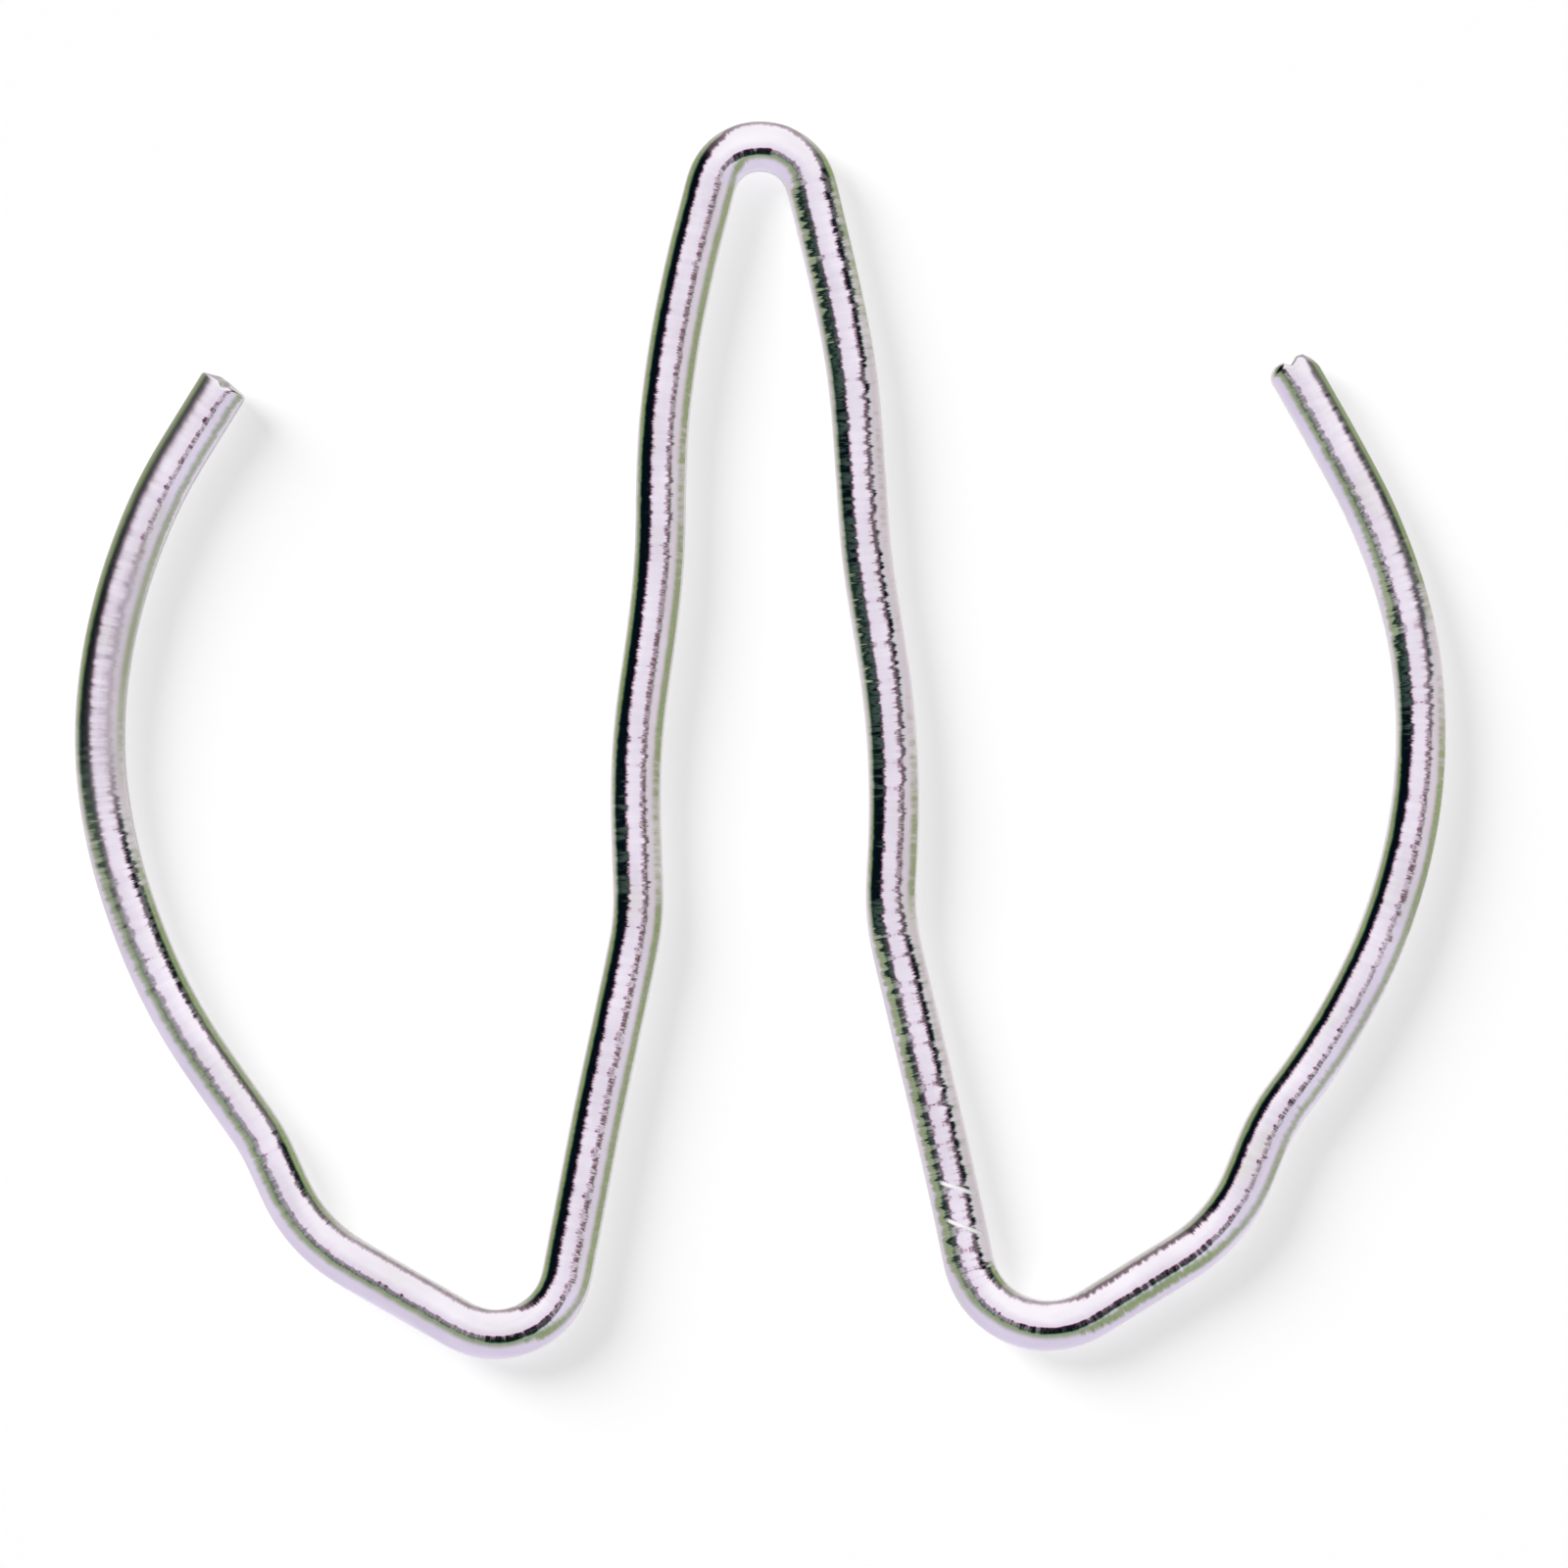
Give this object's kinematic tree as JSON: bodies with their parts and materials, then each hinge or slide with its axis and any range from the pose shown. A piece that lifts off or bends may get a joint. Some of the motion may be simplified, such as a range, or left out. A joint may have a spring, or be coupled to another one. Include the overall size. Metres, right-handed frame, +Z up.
{
  "type": "socket retaining ring",
  "caption": "Spring clip bent from one round bright steel wire: arms curve round the outside, and a long hairpin stands between them.",
  "frame": {"origin": "middle of the clip's outline in plan, at the underside of the wire, which is the surface it lies on", "axes": "+X across the two arms, +Y from the feet towards the crown of the hairpin and the open ends of the arms, +Z up out of the plane of the clip"},
  "size_m": [0.0446, 0.0404, 0.0016],
  "materials": {
    "spring_wire": "polished"
  },
  "bodies": {
    "root": {"retaining_ring": "spring_wire"}
  },
  "joints": []
}
